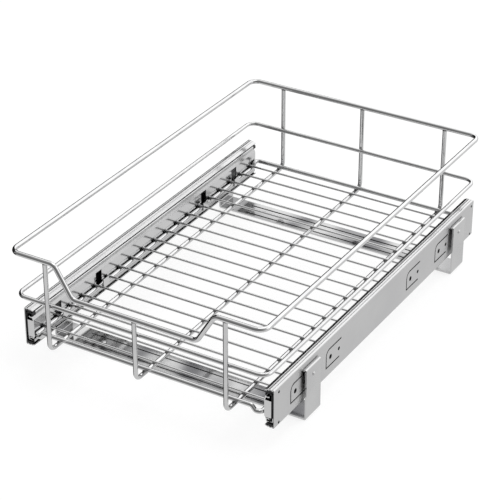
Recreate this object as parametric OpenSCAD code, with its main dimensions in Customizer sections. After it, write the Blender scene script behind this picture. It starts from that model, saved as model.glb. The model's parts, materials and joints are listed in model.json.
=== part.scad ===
// Pull-out cabinet basket: a welded wire basket on two three-part ball slides,
// which hang between two steel cross plates that screw to the cabinet floor.
// X runs across, -Y is the front, Z is up; the cabinet floor is Z = 0.

/* [Basket] */
// Width of the rims, wire centre to wire centre
basket_w = 327; // [300:1:400]
// Depth of the rims, front to back, wire centre to wire centre
basket_l = 527; // [500:1:600]
// Height of the top rim's wire centre above the cabinet floor
rim_z = 158; // [130:1:200]
// Height of the middle rim's wire centre
mid_z = 98.5; // [85:0.5:108]
// Diameter of the top rim's wire
rim_d = 6; // [4:0.5:8]
// Diameter of the middle rim's wire
mid_d = 5; // [3.5:0.5:6.5]
// Diameter of the upright wires and of the base frame
upright_d = 5.5; // [4:0.5:6.5]
// Diameter of the floor's cross wires
cross_d = 2.8; // [2:0.2:4]
// Plan radius of the rims' corners
corner_r = 12; // [8:1:20]
// Spacing of the upright wires across the basket
upright_pitch = 116.7; // [90:0.1:125]
// Bend radius where an upright wire turns along the floor
upright_r = 9; // [6:0.5:12]
// Spacing of the cross wires, front to back
cross_pitch = 25.75; // [22:0.05:34]
// How far the rims overhang the base frame on each side
rim_overhang = 13.4; // [10:0.1:20]

/* [Front dip] */
// Depth of the dip in the top rim's front
dip_depth = 38; // [20:1:50]
// Half the width of the dip's low run
dip_low = 81; // [60:1:88]
// Half the width of the dip where the rim starts to fall
dip_high = 104; // [100:1:130]
// Bend radius of the dip
dip_r = 10; // [5:1:12]

/* [Slides] */
// Length of the slides' outer members
slide_l = 498; // [480:1:520]
// Height of the slides' outer members
slide_h = 50; // [48:0.5:54]
// Sheet thickness of the slide members
sheet = 1.2; // [1:0.05:1.3]
// Ball diameter
ball_d = 3.8; // [3.4:0.1:4]
// Travel of the drawer
travel = 480; // [300:5:485]

/* [Cross plates] */
// Depth of each cross plate, front to back
plate_l = 32.5; // [26:0.5:45]
// Sheet thickness of the cross plates
plate_t = 2; // [1.5:0.1:3]
// Height of the cross plates' ends
plate_h = 66.1; // [60:0.1:69]
// From the slides' front to the front cross plate
plate_front = 61.3; // [45:0.1:70]
// From the slides' front to the rear cross plate
plate_rear = 431.3; // [425:0.1:440]
// Spacing of the floor screw holes across the cabinet
screw_pitch = 222; // [150:1:260]
// Diameter of the floor screw holes
screw_d = 5; // [4:0.5:6]

/* [Hidden] */
$fn = 48;
weld = 0.05;            // how far welded wires sink into each other
seam = 0.02;            // bends are this much thinner than the rods that enter them
air = 0.5;              // running gap between slide sheets
ball_gap = 0.3;         // running gap round a ball

// Heights and places of the basket's wires
floor_z = 41.7;                                  // the upright wires' floor run
bar_z = floor_z + upright_d - weld;              // front and back bars of the base frame
cross_z = floor_z + (upright_d + cross_d)/2 - weld;
front_y = -basket_l/2;
back_y = basket_l/2;
upright_in = 0.4;                                // uprights stand just inside the rim's centre
mid_in = upright_in + (upright_d + mid_d)/2 - weld;
bar_front_y = front_y + 18;
bar_back_y = back_y - 11.5;
base_x = basket_w/2 - rim_overhang;              // side bars of the base frame
base_r = 4.5;                                    // radius of the base frame's corners
base_drop_r = 3.4;                               // radius of the bends at a drop
base_drop_from = base_r + 2.6;                   // a drop starts this far from its corner
base_drop_to = base_drop_from + 4.6;             // and ends this far from it
cross_front = 18.5;                              // front bar to the first cross wire
cross_back_min = 15;
cross_n = floor((bar_back_y - bar_front_y - cross_front - cross_back_min)/cross_pitch) + 1;
function cross_y(i) = bar_front_y + cross_front + cross_pitch*i;

// Slides: u is measured inward from the outer face, v up from the middle
slide_t = 13;
side_gap = 0.15;                                 // side bar to the inner member
slide_in_x = base_x + upright_d/2 + side_gap;    // the inner members' inner face
slide_x = slide_in_x + slide_t;                  // the outer members' outer face
slide_z = 49;
slide_y = front_y + 19.7;                        // the slides' front
half_h = slide_h/2;
ball_r = ball_d/2;
race_r = ball_r + ball_gap + sheet/2;            // centreline radius of a ball race
cage_t = 0.6;
strip_t = 0.8;                                   // thickness of a cage's ball strips
outer_u = sheet/2;
cage_a_u = sheet + air + cage_t/2;
mid_u = cage_a_u + cage_t/2 + air + sheet/2;
inner_u = slide_t - sheet/2;
lip_u = inner_u - 1;                             // the middle member's lip
ball_a = [5.4, half_h - sheet/2 - race_r];       // outer ball row
flange_v = ball_a[1] - race_r;                   // floor of the middle member's outer race
mid_roof_v = flange_v + 0.5;                     // roof of its inner race
ball_b = [lip_u - race_r, mid_roof_v - race_r];  // inner ball row
shoulder_v = ball_b[1] - race_r;                 // floor of the inner member's race
mid_back = 2;                                    // the middle member starts this far back
cap_l = 6;                                       // its end caps reach this far back
end_gap = 2;
mid_l = slide_l - 2*mid_back;
inner_l = slide_l - 2.7;
tab_t = sheet;
bumper_l = 12;
bumper_w = 8;
cage_a_l = mid_l - travel/2 - bumper_l - 2*end_gap;
cage_b_l = mid_l - travel/2 - 1;
cage_a_y = slide_y + bumper_l + end_gap + travel/4;
guide_l = 62;                                    // the plastic guide in the inner member
cage_b_y = slide_y + mid_back + 0.5 + travel/4;
row_n = 9;                                       // balls in each row of a cage
row_end = 8;                                     // from a cage's end to its first ball
pocket_d = ball_d + 0.6;

// Cradles and windows of the inner members, each between two cross wires
cradle_gap = [1, 4, cross_n - 6, cross_n - 3];   // the wire before each cradle
cradle_shift = [-2.3, 2.4, -4.8, -4.8];          // from the middle of its gap
window_shift = [-5.8, -5.8, 5.2, 3];             // from its cradle
cradle_w = 11.6;
cradle_fit = 0.1;                                // a cradle to the side bar
window_w = 12;
window_top = 10.5;
cradle_top = 0;
cradle_y = [for (i = [0:3]) cross_y(cradle_gap[i] + 0.5) + cradle_shift[i]];
bar_bottom_v = floor_z - upright_d/2 - slide_z;
tongue_low = -12.5;
tongue_high = 9.5;
tongue_gap = 0.9;                                // the tongue stops short of the middle member
tongue_r = 3;

// Mounting hooks lanced from the outer members, from the slide's front
hook_at = [34.8, 114.3, 312.9, 390];
hook_l = 35;
hook_low = -11.9;
hook_high = 10.7;
hook_r = 7.5;
hook_slot = 1.7;
hook_hole_v = -0.9;
end_hole_v = [18.6, -21];
end_hole_d = 3.4;

// Cross plates
stand_off = 2.8;                                 // plate ends stand off the slides' faces
plate_x = slide_x + stand_off + plate_t;         // outer face of the plates' ends
plate_bend = 3;                                  // outer bend radius at the floor
fold_bend = 2.1;                                 // outer bend radius of the top fold
rib_h = 0.8;
rib_w = 4;
rib_l = 270;
rivet_z = 53.2;
rivet_d = 5;
rivet_fit = 0.1;                                 // a rivet in its holes
rivet_head_d = 6.4;
rivet_head_h = 1.6;
boss_d = 10;
plate_y = [slide_y + plate_front, slide_y + plate_rear];

// ---------- Geometry helpers ----------

function unit(v) = v/norm(v);
function side(a, b) = let (d = unit(b - a)) [-d[1], d[0]];

// Points of an arc round c, from angle a0 to a1 in n steps
function arc(c, r, a0, a1, n = 6) = [for (i = [0:n])
    let (a = a0 + (a1 - a0)*i/n) c + r*[cos(a), sin(a)]];

// The offset direction at point i of a path, long enough for a mitred corner
function mitre(path, i) =
    let (last = len(path) - 1)
    let (before = i == 0 ? side(path[0], path[1]) : side(path[i - 1], path[i]))
    let (after = i == last ? side(path[last - 1], path[last]) : side(path[i], path[i + 1]))
    let (m = unit(before + after))
    m/(m*before);

// The outline of a sheet of thickness t that follows a path
function sheet_outline(path, t) = concat(
    [for (i = [0:len(path) - 1]) path[i] + mitre(path, i)*t/2],
    [for (i = [len(path) - 1:-1:0]) path[i] - mitre(path, i)*t/2]);

// A path that is the same above and below the middle: half goes from the middle up
function both_ways(half) = concat(
    [for (i = [len(half) - 1:-1:1]) [half[i][0], -half[i][1]]], half);

module sheet_2d(path, t) polygon(sheet_outline(path, t));

// A straight round rod from p to q
module rod(p, q, d) {
    step = q - p;
    translate(p)
        rotate([0, acos(step[2]/norm(step)), atan2(step[1], step[0])])
            cylinder(h = norm(step), d = d);
}

// How much of each leg a bend of radius r takes up at point b
function bend_leg(a, b, c, r) = r*tan(acos(unit(b - a)*unit(c - b))/2);

// The bend of a round wire at point b, on the way from a to c
module bend(a, b, c, r, d) {
    go = unit(b - a);
    out = unit(c - b);
    inward = unit(out - (go*out)*go);
    start = b - go*bend_leg(a, b, c, r);
    middle = start + inward*r;
    axis = cross(go, inward);
    multmatrix([
        [-inward[0], go[0], axis[0], middle[0]],
        [-inward[1], go[1], axis[1], middle[1]],
        [-inward[2], go[2], axis[2], middle[2]],
        [0, 0, 0, 1]])
        rotate_extrude(angle = acos(go*out))
            translate([r, 0])
                circle(d = d - seam);
}

// A round wire through points, with a bend of its own radius at each inner point
module wire(points, radii, d, closed = false) {
    n = len(points);
    function at(i) = points[(i + n) % n];
    function leg(i) = !closed && (i == 0 || i == n - 1) ? seam
        : bend_leg(at(i - 1), at(i), at(i + 1), radii[(i + n) % n]);
    for (i = [0:closed ? n - 1 : n - 2]) {
        way = unit(at(i + 1) - at(i));
        rod(at(i) + way*(leg(i) - seam), at(i + 1) - way*(leg((i + 1) % n) - seam), d);
    }
    for (i = [closed ? 0 : 1:closed ? n - 1 : n - 2])
        bend(at(i - 1), at(i), at(i + 1), radii[i], d);
}

// Draws a profile of u and v along the left slide, from y for a length
module along_left_slide(y, length) {
    translate([-slide_x, y + length, slide_z])
        rotate([90, 0, 0])
            linear_extrude(length)
                children();
}

// Puts what is drawn in y, z on the left slide's outer face, through its web
module through_left_web(u, depth) {
    translate([-slide_x + u, 0, slide_z])
        rotate([90, 0, 90])
            linear_extrude(depth)
                children();
}

// ---------- Wire basket ----------

wire_steel = [0.88, 0.89, 0.90];

module top_rim_wire() {
    x = basket_w/2;
    low_z = rim_z - dip_depth;
    points = [
        [-x, front_y, rim_z], [-dip_high, front_y, rim_z], [-dip_low, front_y, low_z],
        [dip_low, front_y, low_z], [dip_high, front_y, rim_z], [x, front_y, rim_z],
        [x, back_y, rim_z], [-x, back_y, rim_z]];
    radii = [corner_r, dip_r, dip_r, dip_r, dip_r, corner_r, corner_r, corner_r];
    color(wire_steel) wire(points, radii, rim_d, closed = true);
}

module middle_rim_wire() {
    x = basket_w/2;
    y0 = front_y + mid_in;
    y1 = back_y - mid_in;
    points = [[-x, y0, mid_z], [x, y0, mid_z], [x, y1, mid_z], [-x, y1, mid_z]];
    color(wire_steel) wire(points, [for (i = [0:3]) corner_r], mid_d, closed = true);
}

// One U-shaped upright: front leg, floor run and back leg; it butts under the rim
module upright(x, front_rim_z) {
    y0 = front_y + upright_in;
    y1 = back_y - upright_in;
    sink = 0.6;
    points = [
        [x, y0, front_rim_z - rim_d/2 + sink], [x, y0, floor_z],
        [x, y1, floor_z], [x, y1, rim_z - rim_d/2 + sink]];
    color(wire_steel) wire(points, [0, upright_r, upright_r, 0], upright_d);
}

module left_upright_wire() upright(-upright_pitch, rim_z);
module centre_upright_wire() upright(0, rim_z - dip_depth);
module right_upright_wire() upright(upright_pitch, rim_z);

// The base frame lies on the uprights; it drops to their level beside the front corners
// and at the rear of its sides
module base_frame_wire() {
    f = bar_front_y;
    b = bar_back_y;
    right_half = [
        [base_x - base_drop_to, f, bar_z], [base_x - base_drop_from, f, floor_z],
        [base_x, f, floor_z], [base_x, b - base_drop_to, floor_z],
        [base_x, b - base_drop_from, bar_z], [base_x, b, bar_z]];
    left_half = [for (i = [len(right_half) - 1:-1:0])
        [-right_half[i][0], right_half[i][1], right_half[i][2]]];
    right_radii = [base_drop_r, base_drop_r, base_r, base_drop_r, base_drop_r, base_r];
    left_radii = [for (i = [len(right_radii) - 1:-1:0]) right_radii[i]];
    color(wire_steel)
        wire(concat(right_half, left_half), concat(right_radii, left_radii),
            upright_d, closed = true);
}

module cross_wires() {
    end_x = slide_in_x - 0.3;
    color(wire_steel)
        for (i = [0:cross_n - 1])
            rod([-end_x, cross_y(i), cross_z], [end_x, cross_y(i), cross_z], cross_d);
}

// ---------- Slides ----------

slide_steel = [0.72, 0.73, 0.74];
black_plastic = [0.06, 0.06, 0.06];

// Outer member: web, corner, ball race pressed up in the flange, slanted lip
function outer_half() =
    let (top = half_h - sheet/2)
    let (groove_v = top - 1)
    concat(
        [[outer_u, 0]],
        arc([outer_u + 1.6, top - 1.6], 1.6, 180, 90),
        [[ball_a[0] - 2.3, groove_v]],
        arc(ball_a, race_r, 130, 50, 8),
        [[ball_a[0] + 2.3, groove_v], [ball_a[0] + 3.1, top - 0.3], [slide_t - 0.8, top - 1.8]]);

// Middle member: web, outer race on its flange, inner race under it, lip
function middle_half() = concat(
    [[mid_u, 0]],
    arc([mid_u + 1.6, flange_v - 1.6], 1.6, 180, 90),
    [[ball_a[0] + 0.6, flange_v + 0.06], [ball_a[0] + 1.6, mid_roof_v]],
    arc([lip_u - 1.2, mid_roof_v - 1.2], 1.2, 90, 0),
    [[lip_u, ball_b[1] - 1]]);

// Inner member: web, shoulder, inner race
function inner_half() = [
    [inner_u, 0], [inner_u, shoulder_v - 2.8], [inner_u - 1.7, shoulder_v + 0.3],
    [ball_b[0] + 1, shoulder_v + 0.05], [ball_b[0], shoulder_v],
    [ball_b[0] - 1, shoulder_v + 0.2], [ball_b[0] - 2, shoulder_v + 0.8]];

// One lanced hook's slot: along the top, round the nose, down it and back below
module hook_slot_2d() {
    nose = concat([[hook_l, hook_high]], arc([hook_r, hook_high - hook_r], hook_r, 90, 180, 6),
        [[0, hook_low], [hook_l - 4, hook_low]]);
    sheet_2d(nose, hook_slot);
}

module left_outer_member() {
    color(slide_steel) difference() {
        along_left_slide(slide_y, slide_l) sheet_2d(both_ways(outer_half()), sheet);
        through_left_web(-1, sheet + 1.5) {
            for (at = hook_at)
                translate([slide_y + at, 0]) {
                    hook_slot_2d();
                    translate([10, hook_hole_v]) circle(d = 6);
                    translate([29.5, hook_hole_v]) circle(d = 4.5);
                }
            for (v = end_hole_v) {
                translate([slide_y + 9.1, v]) circle(d = end_hole_d);
                translate([slide_y + slide_l - 6.3, v]) circle(d = end_hole_d);
            }
            for (y = plate_y)
                translate([y + plate_l/2, rivet_z - slide_z]) circle(d = rivet_d + rivet_fit);
        }
    }
}
module right_outer_member() mirror([1, 0, 0]) left_outer_member();

module left_middle_member() {
    color(slide_steel) difference() {
        along_left_slide(slide_y + mid_back, mid_l) sheet_2d(both_ways(middle_half()), sheet);
        for (y = [slide_y, slide_y + slide_l - cap_l])
            along_left_slide(y, cap_l) cap_side_2d();
    }
}
module right_middle_member() mirror([1, 0, 0]) left_middle_member();

// The upper part of a middle member's section, which ends in plastic caps
module cap_side_2d() translate([0, tongue_low]) square([slide_t, slide_h]);
module left_middle_end_caps() {
    color(black_plastic)
        for (y = [slide_y + 0.3, slide_y + slide_l - cap_l])
            along_left_slide(y, cap_l - 0.3)
                intersection() {
                    sheet_2d(both_ways(middle_half()), sheet);
                    cap_side_2d();
                }
}
module right_middle_end_caps() mirror([1, 0, 0]) left_middle_end_caps();

// A cradle: a tongue bent out of the window, under the side bar and up its inner side
module cradle_2d() {
    under_v = bar_bottom_v - cradle_fit - tab_t/2;
    up_u = slide_x - base_x + upright_d/2 + cradle_fit + tab_t/2;
    sheet_2d(concat([[inner_u, under_v]], arc([up_u - 1.2, under_v + 1.2], 1.2, -90, 0),
        [[up_u, cradle_top]]), tab_t);
}

// The tongue at the front that closes the inner member's end
module front_tongue_2d() {
    far = mid_u + tongue_gap;
    half_r = tongue_r/2;
    polygon(concat(
        [[slide_t, tongue_high]],
        arc([slide_t - tongue_r, tongue_low + tongue_r], tongue_r, 0, -90),
        arc([far + half_r, tongue_low + half_r], half_r, 270, 180),
        [[far, tongue_high]]));
}

module left_inner_member() {
    window_low = bar_bottom_v - cradle_fit;
    color(slide_steel) {
        difference() {
            along_left_slide(slide_y, inner_l) sheet_2d(both_ways(inner_half()), sheet);
            through_left_web(slide_t - sheet - 0.5, sheet + 1)
                for (i = [0:3]) {
                    translate([cradle_y[i] + window_shift[i] - window_w/2, window_low])
                        square([window_w, window_top - window_low]);
                    translate([cradle_y[i] - cradle_w/2, window_low])
                        square([cradle_w, upright_d]);
                }
        }
        for (y = cradle_y)
            along_left_slide(y - cradle_w/2, cradle_w) cradle_2d();
        along_left_slide(slide_y, tab_t) front_tongue_2d();
    }
}
module right_inner_member() mirror([1, 0, 0]) left_inner_member();

// A cage: a channel of thin sheet whose flanges hold the two rows of balls
module ball_cage(y, length, web_u, ball, reach) {
    bend_v = ball[1] - 1.2;
    web = both_ways([[web_u, 0], [web_u, bend_v]]);
    color(black_plastic) difference() {
        union() {
            along_left_slide(y, length) sheet_2d(web, cage_t);
            for (s = [-1, 1])
                along_left_slide(y, length)
                    sheet_2d([[web_u, s*(bend_v - 0.1)], [web_u + 1, s*ball[1]],
                        [ball[0] + reach, s*ball[1]]], strip_t);
        }
        for (i = [0:row_n - 1], s = [-1, 1])
            translate([-slide_x + ball[0], row_y(y, length, i), slide_z + s*ball[1]])
                cylinder(h = 3, d = pocket_d, center = true);
    }
}
function row_y(y, length, i) = y + row_end + (length - 2*row_end)*i/(row_n - 1);

module balls(y, length, ball) {
    color([0.8, 0.8, 0.82])
        for (i = [0:row_n - 1], s = [-1, 1])
            translate([-slide_x + ball[0], row_y(y, length, i), slide_z + s*ball[1]])
                sphere(d = ball_d);
}

module left_outer_ball_cage() ball_cage(cage_a_y, cage_a_l, cage_a_u, ball_a, 3.2);
module right_outer_ball_cage() mirror([1, 0, 0]) left_outer_ball_cage();
module left_inner_ball_cage()
    ball_cage(cage_b_y, cage_b_l, mid_u + sheet/2 + air + cage_t/2, ball_b, 1.8);
module right_inner_ball_cage() mirror([1, 0, 0]) left_inner_ball_cage();
module left_outer_balls() balls(cage_a_y, cage_a_l, ball_a);
module right_outer_balls() mirror([1, 0, 0]) left_outer_balls();
module left_inner_balls() balls(cage_b_y, cage_b_l, ball_b);
module right_inner_balls() mirror([1, 0, 0]) left_inner_balls();

// Plastic bumpers that close the ends of the outer races
module left_race_bumpers() {
    low_v = mid_roof_v + sheet/2 + 0.3;
    high_v = half_h - sheet - 1.2;
    color(black_plastic)
        for (y = [slide_y + 0.3, slide_y + slide_l - bumper_l - 0.3], s = [-1, 1])
            along_left_slide(y, bumper_l)
                scale_v(s)
                    union() {
                        intersection() {
                            translate(ball_a) circle(r = ball_r + ball_gap - 0.1);
                            translate([0, low_v]) square([slide_t, race_r*2]);
                        }
                        translate([sheet + 0.2, low_v]) square([bumper_w, high_v - low_v]);
                    }
}
module scale_v(s) mirror([0, s < 0 ? 1 : 0]) children();
module right_race_bumpers() mirror([1, 0, 0]) left_race_bumpers();

// The plastic block inside the front of an inner member, seen through its first window
module left_front_guide() {
    depth = 4.2;
    v = shoulder_v - 3.6;
    color(black_plastic)
        along_left_slide(slide_y + tab_t + 0.1, guide_l)
            translate([slide_t - sheet - depth, -v]) square([depth, 2*v]);
}
module right_front_guide() mirror([1, 0, 0]) left_front_guide();

// ---------- Cross plates ----------

// Half of a plate's profile: floor, bend, end, and the fold that meets the slide
function plate_half() =
    let (r = plate_bend - plate_t/2)
    let (f = fold_bend - plate_t/2)
    let (end_x = plate_x - plate_t/2)
    let (top = plate_h - plate_t/2)
    concat(
        arc([end_x - r, plate_bend], r, 270, 360),
        arc([end_x - f, top - f], f, 0, 90),
        [[slide_x, top]]);

module cross_plate(y) {
    half = plate_half();
    path = concat([for (i = [len(half) - 1:-1:0]) [-half[i][0], half[i][1]]], half);
    color([0.78, 0.79, 0.80]) difference() {
        union() {
            translate([0, y + plate_l, 0])
                rotate([90, 0, 0])
                    linear_extrude(plate_l)
                        sheet_2d(path, plate_t);
            for (side_y = [plate_l*0.2, plate_l*0.8])
                translate([-rib_l/2, y + side_y - rib_w/2, plate_t - 0.1])
                    cube([rib_l, rib_w, rib_h + 0.1]);
            for (s = [-1, 1])
                translate([s*slide_x, y + plate_l/2, rivet_z])
                    rotate([0, s*90, 0])
                        cylinder(h = stand_off + 0.1, d = boss_d);
        }
        for (s = [-1, 1]) {
            translate([s*(slide_x - 1), y + plate_l/2, rivet_z])
                rotate([0, s*90, 0])
                    cylinder(h = 20, d = rivet_d + rivet_fit);
            translate([s*screw_pitch/2, y + plate_l/2, -1])
                cylinder(h = plate_t + 2, d = screw_d);
        }
    }
}

module front_cross_plate() cross_plate(plate_y[0]);
module rear_cross_plate() cross_plate(plate_y[1]);

// A rivet fixes each plate end to its slide, with a domed head outside
module plate_rivets() {
    grip = sheet + plate_x - slide_x;
    dome_r = (rivet_head_h*rivet_head_h + rivet_head_d*rivet_head_d/4)/(2*rivet_head_h);
    color([0.75, 0.75, 0.76])
        for (y = plate_y, s = [-1, 1])
            translate([s*(slide_x - sheet), y + plate_l/2, rivet_z])
                rotate([0, s*90, 0]) {
                    cylinder(h = grip + 0.2, d = rivet_d);
                    intersection() {
                        translate([0, 0, grip + rivet_head_h - dome_r]) sphere(r = dome_r);
                        translate([0, 0, grip]) cylinder(h = 5, d = 20);
                    }
                }
}

top_rim_wire();
middle_rim_wire();
left_upright_wire();
centre_upright_wire();
right_upright_wire();
base_frame_wire();
cross_wires();
left_inner_member();
right_inner_member();
left_front_guide();
right_front_guide();
left_middle_member();
right_middle_member();
left_middle_end_caps();
right_middle_end_caps();
left_outer_member();
right_outer_member();
left_outer_ball_cage();
right_outer_ball_cage();
left_inner_ball_cage();
right_inner_ball_cage();
left_outer_balls();
right_outer_balls();
left_inner_balls();
right_inner_balls();
left_race_bumpers();
right_race_bumpers();
front_cross_plate();
rear_cross_plate();
plate_rivets();
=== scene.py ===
import json
import math

import bpy
import numpy as np
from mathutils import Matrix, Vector


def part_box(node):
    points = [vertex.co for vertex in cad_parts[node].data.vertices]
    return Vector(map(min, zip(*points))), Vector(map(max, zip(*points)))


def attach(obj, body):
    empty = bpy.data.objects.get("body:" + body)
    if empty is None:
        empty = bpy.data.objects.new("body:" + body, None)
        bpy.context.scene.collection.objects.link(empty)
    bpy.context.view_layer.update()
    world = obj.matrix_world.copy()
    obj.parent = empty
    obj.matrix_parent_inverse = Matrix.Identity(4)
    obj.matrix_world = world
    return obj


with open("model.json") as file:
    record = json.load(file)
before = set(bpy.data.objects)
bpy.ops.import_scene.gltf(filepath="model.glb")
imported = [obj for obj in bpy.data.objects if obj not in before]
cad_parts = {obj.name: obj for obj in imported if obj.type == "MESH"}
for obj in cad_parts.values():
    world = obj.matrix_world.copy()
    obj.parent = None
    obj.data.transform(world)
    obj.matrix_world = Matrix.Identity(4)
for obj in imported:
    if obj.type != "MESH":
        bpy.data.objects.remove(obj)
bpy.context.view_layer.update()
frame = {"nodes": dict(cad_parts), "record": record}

scene = bpy.context.scene

# Camera, from the fit to the photograph's wire corners
cameraSetup = {
    "place": (0.99546, -1.68035, 1.20179),
    "azimuth": 30.912,      # degrees from +Y towards -X
    "elevation": 29.926,    # degrees downwards
    "lens": 135.34,
    "sensor": 36.0,
    "clip": (0.05, 50),     # nearest and farthest, in metres
}
cameraData = bpy.data.cameras.new("camera")
cameraData.lens = cameraSetup["lens"]
cameraData.sensor_width = cameraSetup["sensor"]
cameraData.clip_start, cameraData.clip_end = cameraSetup["clip"]
camera = bpy.data.objects.new("camera", cameraData)
camera.location = cameraSetup["place"]
camera.rotation_euler = (math.radians(90 - cameraSetup["elevation"]), 0,
                         math.radians(cameraSetup["azimuth"]))
scene.collection.objects.link(camera)
scene.camera = camera
scene.view_settings.view_transform = "Standard"
print("camera done")


# Shader maths: a socket that takes part in Python expressions
class Wire:
    def __init__(self, tree, socket):
        self.tree = tree
        self.socket = socket

    def math(self, operation, *others):
        node = self.tree.nodes.new("ShaderNodeMath")
        node.operation = operation
        for slot, value in enumerate((self,) + others):
            if isinstance(value, Wire):
                self.tree.links.new(value.socket, node.inputs[slot])
            else:
                node.inputs[slot].default_value = value
        return Wire(self.tree, node.outputs[0])

    def __add__(self, other):
        return self.math("ADD", other)

    def __sub__(self, other):
        return self.math("SUBTRACT", other)

    def __rsub__(self, other):
        return self * -1.0 + other

    def __mul__(self, other):
        return self.math("MULTIPLY", other)

    __radd__ = __add__
    __rmul__ = __mul__


class Finish:
    def __init__(self, tree):
        self.tree = tree
        self.tree.nodes.clear()

    # Any node: its type, its settings, then the values or links of its sockets
    def add(self, kind, settings=None, inputs=None, output=0):
        node = self.tree.nodes.new(kind)
        for name, value in (settings or {}).items():
            setattr(node, name, value)
        for name, value in (inputs or {}).items():
            if isinstance(value, Wire):
                self.tree.links.new(value.socket, node.inputs[name])
            else:
                node.inputs[name].default_value = value
        return Wire(self.tree, node.outputs[output]) if node.outputs else node

    # 0 where the factor is below low, 1 where it is above high
    def ramp(self, factor, low, high, shape="SMOOTHSTEP"):
        return self.add("ShaderNodeMapRange", {"interpolation_type": shape},
                        {"Value": factor, "From Min": low, "From Max": high})

    # The parts of a coordinate, or of the surface's own normal
    def parts(self, kind="Object"):
        whole = self.add("ShaderNodeTexCoord", output=kind)
        split = self.add("ShaderNodeSeparateXYZ", {}, {"Vector": whole}).socket.node
        return [Wire(self.tree, socket) for socket in split.outputs]

    def noise(self, scale, detail, stretch=(1, 1, 1)):
        place = self.add("ShaderNodeTexCoord", output="Object")
        mapped = self.add("ShaderNodeMapping", {}, {"Vector": place, "Scale": stretch})
        return self.add("ShaderNodeTexNoise", {}, {"Vector": mapped, "Scale": scale, "Detail": detail})

    # The Mix node's colours are its sockets 6 and 7, and its colour output is 2
    def tint(self, factor, first, second):
        full = [shade if isinstance(shade, Wire) else (*shade, 1) for shade in (first, second)]
        return self.add("ShaderNodeMix", {"data_type": "RGBA"},
                        {0: factor, 6: full[0], 7: full[1]}, output=2)

    # 1 on open surfaces, 0 deep in a joint, a slot or a fold narrower than reach
    def openness(self, reach):
        return self.add("ShaderNodeAmbientOcclusion", {"samples": 6}, {"Distance": reach}, output="AO")

    # The grain's height moves the surface by up to depth, in metres
    def bump(self, height, strength, depth):
        return self.add("ShaderNodeBump", {}, {"Strength": strength, "Distance": depth, "Height": height})


def newFinish(name):
    material = bpy.data.materials.new(name)
    material.use_nodes = True
    return material, Finish(material.node_tree)


def closeFinish(finish, **inputs):
    surface = finish.add("ShaderNodeBsdfPrincipled", {},
                         {key.replace("_", " "): value for key, value in inputs.items()})
    finish.add("ShaderNodeOutputMaterial", {}, {"Surface": surface})


# Finishes: a range is where a change starts and where it is complete, a haze, cloud, grain, wave
# or lines is a noise's scale, detail and stretch, and a bump is its strength and depth in metres
chromeSetup = {
    "bright": (0.57, 0.57, 0.57),
    "dull": (0.52, 0.52, 0.525),
    "joint": (0.08, 0.08, 0.08),    # painted shade in the corners where wires meet
    "creviceReach": 0.002,
    "creviceRange": (0.45, 0.9),
    "roughness": (0.03, 0.06),
    "haze": (38.0, 4.0),
    "hazeRange": (0.35, 0.7),
    "grain": (900.0, 2.0),
    "bump": (0.03, 0.0002),
}


def makeChrome(name, setup):
    material, f = newFinish(name)
    haze = f.ramp(f.noise(*setup["haze"]), *setup["hazeRange"])
    low, high = setup["roughness"]
    clean = f.tint(haze, setup["bright"], setup["dull"])
    # painted shade: the base colour darkens towards the crevice shade where the surface is enclosed
    # within the reach
    unshaded = f.ramp(f.openness(setup["creviceReach"]), *setup["creviceRange"])
    closeFinish(f, Base_Color=f.tint(unshaded, setup["joint"], clean), Metallic=1.0,
                Roughness=haze * (high - low) + low,
                Normal=f.bump(f.noise(*setup["grain"]), *setup["bump"]))
    return material


slideSetup = {
    "bright": (0.52, 0.52, 0.52),
    "dull": (0.48, 0.48, 0.485),
    # painted shade in the gaps, slots and folds of the members
    "joint": (0.02, 0.02, 0.02),
    "creviceReach": 0.003,
    "creviceRange": (0.5, 0.92),
    "roughness": (0.12, 0.18),
    "sideMatt": 0.20,               # the flat sides are this much duller than the rolled lips
    "sideRange": (0.9, 0.98),       # a side's normal points along X by at least this
    "cloud": (20.0, 5.0),
    "cloudRange": (0.3, 0.75),
    "lines": (1200.0, 2.0, (1, 0.02, 1)),   # rolling lines run along the slide
    "lineShare": 0.4,
    "bump": (0.05, 0.0002),
}


def makeSlideSteel(name, setup):
    material, f = newFinish(name)
    cloud = f.ramp(f.noise(*setup["cloud"]), *setup["cloudRange"])
    lines = f.noise(*setup["lines"])
    low, high = setup["roughness"]
    mottle = cloud * (1 - setup["lineShare"]) + lines * setup["lineShare"]
    clean = f.tint(mottle, setup["bright"], setup["dull"])
    # painted shade: the base colour darkens in gaps and slots narrower than the reach
    unshaded = f.ramp(f.openness(setup["creviceReach"]), *setup["creviceRange"])
    side = f.ramp(f.parts("Normal")[0].math("ABSOLUTE"), *setup["sideRange"])
    closeFinish(f, Base_Color=f.tint(unshaded, setup["joint"], clean), Metallic=1.0,
                Roughness=mottle * (high - low) + side * setup["sideMatt"] + low,
                Normal=f.bump(lines, *setup["bump"]))
    return material


plateSetup = {
    "bright": (0.50, 0.50, 0.50),
    "dull": (0.46, 0.46, 0.465),
    # painted shade where the plate's faces meet or nearly touch
    "joint": (0.03, 0.03, 0.03),
    "creviceReach": 0.002,
    "creviceRange": (0.15, 0.6),
    "roughness": (0.08, 0.16),
    "cloud": (24.0, 4.0),
    "cloudRange": (0.3, 0.75),
    "wave": (9.0, 1.0, (1, 0.6, 1)),        # the rolled sheet is a little wavy
    "lines": (1100.0, 2.0, (0.02, 1, 1)),   # rolling lines run along the plate
    "lineDepth": 0.004,                     # against the waves
    "bump": (0.6, 0.002),
    "floorPaintedLight": (0.40, 0.40, 0.40),      # painted reflection: the floors are mottled between a light and a dark gray, which stand in for light and dark reflections
    "floorPaintedDark": (0.10, 0.10, 0.105),
    "floorPaintedCloud": (11.0, 2.0, (1, 0.5, 1)),
    "floorPaintedRange": (0.4, 0.6),
    "floorFacing": (0.8, 0.95),             # a floor's normal points up by at least this
    "floorTop": (0.03, 0.04),               # no floor is above this height
}


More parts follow.
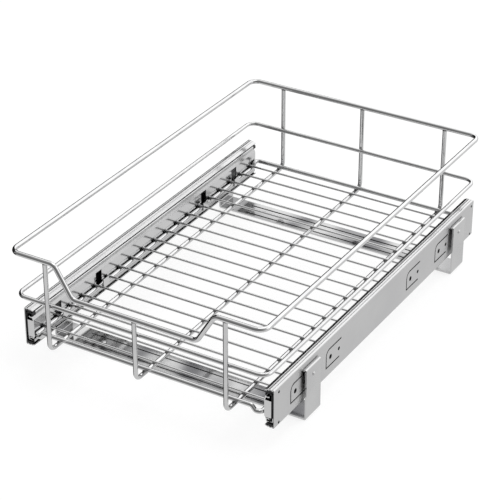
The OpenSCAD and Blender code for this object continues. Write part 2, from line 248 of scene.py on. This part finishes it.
def makePlateSteel(name, setup):
    material, f = newFinish(name)
    cloud = f.ramp(f.noise(*setup["cloud"]), *setup["cloudRange"])
    wave = f.noise(*setup["wave"])
    lines = f.noise(*setup["lines"])
    low, high = setup["roughness"]
    height = f.parts()[2]
    facing = f.parts("Normal")[2]
    # painted reflection: random light and dark patches on the upward floors stand in for the reflections
    # seen in them
    mottle = f.ramp(f.noise(*setup["floorPaintedCloud"]), *setup["floorPaintedRange"])
    floor = f.tint(mottle, setup["floorPaintedLight"], setup["floorPaintedDark"])
    end = f.tint(cloud, setup["bright"], setup["dull"])
    isFloor = f.ramp(facing, *setup["floorFacing"]) * (1 - f.ramp(height, *setup["floorTop"]))
    clean = f.tint(isFloor, end, floor)
    # painted shade: the base colour darkens where the surface is enclosed within the reach
    unshaded = f.ramp(f.openness(setup["creviceReach"]), *setup["creviceRange"])
    closeFinish(f, Base_Color=f.tint(unshaded, setup["joint"], clean), Metallic=1.0,
                Roughness=cloud * (high - low) + low,
                Normal=f.bump(wave + lines * setup["lineDepth"], *setup["bump"]))
    return material


plasticSetup = {
    "dark": (0.008, 0.008, 0.009),
    "worn": (0.02, 0.02, 0.022),
    "roughness": (0.4, 0.6),
    "cloud": (60.0, 3.0),
    "grain": (1600.0, 3.0),
    "bump": (0.2, 0.0002),
}


def makeBlackPlastic(name, setup):
    material, f = newFinish(name)
    cloud = f.noise(*setup["cloud"])
    low, high = setup["roughness"]
    closeFinish(f, Base_Color=f.tint(cloud, setup["dark"], setup["worn"]),
                Roughness=cloud * (high - low) + low,
                Normal=f.bump(f.noise(*setup["grain"]), *setup["bump"]))
    return material


ballSetup = {
    **chromeSetup,
    "bright": (0.6, 0.6, 0.61),
    "dull": (0.5, 0.5, 0.52),
    "roughness": (0.05, 0.08),
}

# The inner members are polished steel, made brighter as a painted reflection of the white band along
# their inner faces, and their painted crevice shade reaches less far
innerSetup = {
    **slideSetup,
    "bright": (0.58, 0.58, 0.58),
    "dull": (0.54, 0.54, 0.545),
    "creviceReach": 0.001,
    "sideMatt": 0.0,
}

finishes = {
    "basket_chrome": makeChrome("basketChrome", chromeSetup),
    "slide_steel": makeSlideSteel("slideSteel", slideSetup),
    "ball_steel": makeChrome("ballSteel", ballSetup),
    "plate_steel": makePlateSteel("plateSteel", plateSetup),
    "black_plastic": makeBlackPlastic("blackPlastic", plasticSetup),
}
innerFinish = makeSlideSteel("innerSteel", innerSetup)
slotOfNode = {entry["node"]: entry["material_slot"] for entry in frame["record"]["subparts"]}
for name, piece in frame["nodes"].items():
    finish = innerFinish if name.endswith("inner_member") else finishes[slotOfNode[name]]
    if not piece.material_slots:
        piece.data.materials.append(finish)
    for slot in piece.material_slots:
        slot.material = finish
print("finishes done")

# Weld beads: where the wires cross and touch
weldSetup = {
    "rings": 6,
    "around": 8,
    "crossWires": 19,
    "rimWire": 0.006,                       # thickness of the top rim
    "topRise": 0.0002,                      # the top beads' middles are this far above its underside
    "crossBead": (0.0021, 0.0018, 0.0008),  # half sizes: cross wires on uprights and side bars
    "barBead": (0.0027, 0.0027, 0.0011),    # front and back bar on the uprights
    "rimBead": (0.0024, 0.0011, 0.0024),    # middle rim inside the uprights
    "topBead": (0.0032, 0.0032, 0.0010),    # uprights under the top rim
}


# An ellipsoid: on each ring the angle from the pole gives the height as its cosine
# and the radius as its sine, and the angle around gives the two directions across
def beadShape(rings, around):
    down = np.pi * np.arange(1, rings) / rings
    turn = 2 * np.pi * np.arange(around) / around
    ring = np.stack(np.broadcast_arrays(np.sin(down)[:, None] * np.cos(turn),
                                        np.sin(down)[:, None] * np.sin(turn),
                                        np.cos(down)[:, None]), axis=-1).reshape(-1, 3)
    points = np.vstack([[[0, 0, 1]], ring, [[0, 0, -1]]])
    step = np.arange(around)
    ahead = (step + 1) % around
    row = 1 + np.arange(rings - 2)[:, None] * around
    quads = np.stack([row + step, row + around + step, row + around + ahead, row + ahead],
                     axis=-1).reshape(-1, 4)
    last = 1 + (rings - 2) * around
    top = np.stack([0 * step, 1 + step, 1 + ahead], axis=-1)
    bottom = np.stack([0 * step + last + around, last + ahead, last + step], axis=-1)
    return points, quads, np.vstack([top, bottom])


# Every pairing of the x and y values, at one height
def places(xs, ys, z):
    x, y = np.meshgrid(xs, ys)
    return np.stack([x.ravel(), y.ravel(), np.full(x.size, z)], axis=-1)


# A box's two faces across an axis, moved in by a depth
def facesOf(box, axis, depth):
    return np.array([box[0][axis] + depth, box[1][axis] - depth])


# Each bead is the round shape times its half sizes, moved to its place on the wires
def makeWeldBeads(setup):
    uprights = [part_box(side + "_upright_wire") for side in ("left", "centre", "right")]
    topRim, middleRim, baseFrame, crossWires = (
        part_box(name) for name in ("top_rim_wire", "middle_rim_wire", "base_frame_wire", "cross_wires"))
    uprightX = np.array([(low[0] + high[0]) / 2 for low, high in uprights])
    wire = uprights[0][1][0] - uprights[0][0][0]    # the uprights and the base frame are of one wire
    barX = facesOf(baseFrame, 0, wire / 2)
    barY = facesOf(baseFrame, 1, wire / 2)
    crossWire = crossWires[1][2] - crossWires[0][2]
    crossY = np.linspace(*facesOf(crossWires, 1, crossWire / 2), setup["crossWires"])
    seatZ = crossWires[0][2]                        # they lie on the uprights and the side bars
    rimZ = (middleRim[0][2] + middleRim[1][2]) / 2
    tops = places(uprightX, facesOf(uprights[0], 1, wire / 2),
                  topRim[1][2] - setup["rimWire"] + setup["topRise"])
    frontCentre = np.argmin(np.abs(tops[:, 0]) + tops[:, 1])
    tops[frontCentre, 2] = topRim[0][2] + setup["topRise"]      # it ends lower, under the dip
    groups = [
        (places([*uprightX, *barX], crossY, seatZ), setup["crossBead"]),
        (places(uprightX, barY, seatZ), setup["barBead"]),
        (places(uprightX, facesOf(uprights[0], 1, wire), rimZ), setup["rimBead"]),
        (tops, setup["topBead"]),
    ]
    points, quads, tris = beadShape(setup["rings"], setup["around"])
    centres = np.vstack([group[0] for group in groups])
    sizes = np.vstack([np.tile(size, (len(centre), 1)) for centre, size in groups])
    solid = centres[:, None, :] + sizes[:, None, :] * points
    shift = (np.arange(len(centres)) * len(points))[:, None, None]
    faces = (quads + shift).reshape(-1, 4).tolist() + (tris + shift).reshape(-1, 3).tolist()
    mesh = bpy.data.meshes.new("weldBeads")
    mesh.from_pydata(solid.reshape(-1, 3).tolist(), [], faces)
    mesh.shade_smooth()
    mesh.materials.append(finishes["basket_chrome"])
    beads = bpy.data.objects.new("weldBeads", mesh)
    scene.collection.objects.link(beads)
    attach(beads, "basket")


makeWeldBeads(weldSetup)
print("weld beads done")

# Studio: pale floor, world and soft lamps
floorSetup = {
    "size": 9.0,
    "colour": (0.26, 0.26, 0.26),
    "glow": 0.8,        # what the camera sees on top of the lit floor
    "drop": 0.0005,
}


def makeFloor(setup):
    half = setup["size"] / 2
    mesh = bpy.data.meshes.new("floor")
    mesh.from_pydata([(-half, -half, 0), (half, -half, 0), (half, half, 0), (-half, half, 0)],
                     [], [(0, 1, 2, 3)])
    floor = bpy.data.objects.new("floor", mesh)
    scene.collection.objects.link(floor)
    material, f = newFinish("floor")
    isCamera = f.add("ShaderNodeLightPath", output="Is Camera Ray")
    isGlossy = f.add("ShaderNodeLightPath", output="Is Glossy Ray")
    diffuse = f.add("ShaderNodeBsdfDiffuse", {}, {"Color": (*setup["colour"], 1)})
    glow = f.add("ShaderNodeEmission", {}, {"Color": (1, 1, 1, 1), "Strength": isCamera * setup["glow"]})
    lit = f.add("ShaderNodeAddShader", {}, {0: diffuse, 1: glow})
    clear = f.add("ShaderNodeBsdfTransparent", {}, {"Color": (1, 1, 1, 1)})
    # The metal shows the white table from the world's lower half
    shown = f.add("ShaderNodeMixShader", {}, {0: isGlossy, 1: lit, 2: clear})
    f.add("ShaderNodeOutputMaterial", {}, {"Surface": shown})
    mesh.materials.append(material)
    floor.location = (0, 0, -setup["drop"])


# Directions are unit vectors: y is away from the camera's side, z is up
worldSetup = {
    "low": 0.24, "high": 1.8,       # the sky's level in front of the object, and behind it
    "rise": (-0.9, 0.55),           # it brightens over this stretch of y
    "horizon": (0.15, 0.32),        # below this z the sky behind is plain white
    "behind": (0.1, 0.5),           # and behind starts at this y
    "table": (-0.38, -0.26),        # below this z the white table shows
    "tableLevel": 0.95,
    "screen": {"edge": (-0.43, -0.41), "slope": 0.9, "top": (-0.01, 0.03), "foot": (-0.35, -0.25),
               "front": (-0.4, -0.2)},
    "lowScreen": {"edge": (-0.72, -0.68), "top": (-0.20, -0.12)},
    "screenLevel": 0.02,            # black screens stand on the left
}


def makeWorld(setup):
    world = bpy.data.worlds.new("studio")
    scene.world = world
    world.use_nodes = True
    f = Finish(world.node_tree)
    x, y, z = f.parts("Generated")
    rise = f.ramp(y, *setup["rise"], shape="LINEAR")
    sky = rise * rise * (setup["high"] - setup["low"]) + setup["low"]
    horizon = f.ramp(y, *setup["behind"]) * (1 - f.ramp(z, *setup["horizon"]))
    sky = sky * (1 - horizon) + horizon
    table = 1 - f.ramp(z, *setup["table"])
    studio = sky * (1 - table) + table * setup["tableLevel"]
    high, low = setup["screen"], setup["lowScreen"]
    slanted = 1 - f.ramp(z + x * high["slope"], *high["top"])
    upper = (1 - f.ramp(x, *high["edge"])) * slanted * f.ramp(z, *high["foot"])
    lower = (1 - f.ramp(x, *low["edge"])) * (1 - f.ramp(z, *low["top"]))
    screen = (upper * f.ramp(y, *high["front"])).math("MAXIMUM", lower)
    level = studio * (1 - screen) + screen * setup["screenLevel"]
    isCamera = f.add("ShaderNodeLightPath", output="Is Camera Ray")
    shade = f.add("ShaderNodeBackground", {}, {"Color": (1, 1, 1, 1),
                                               "Strength": level * (1 - isCamera) + isCamera})
    f.add("ShaderNodeOutputWorld", {}, {"Surface": shade})


lamps = [
    {"name": "top", "place": (0.3, 0.2, 2.6), "aim": (0, 0, 0), "size": 1.2, "power": 7},
    {"name": "right", "place": (2.4, 0.6, 1.6), "aim": (0, 0, 0), "size": 1.4, "power": 5},
]


def makeLamps(setups):
    for setup in setups:
        data = bpy.data.lights.new(setup["name"], "AREA")
        data.shape = "SQUARE"
        data.size = setup["size"]
        data.energy = setup["power"]
        lamp = bpy.data.objects.new(setup["name"], data)
        lamp.location = setup["place"]
        aim = Vector(setup["aim"]) - Vector(setup["place"])
        lamp.rotation_euler = aim.to_track_quat("-Z", "Y").to_euler()
        scene.collection.objects.link(lamp)


makeFloor(floorSetup)
makeWorld(worldSetup)
makeLamps(lamps)
print("studio done")
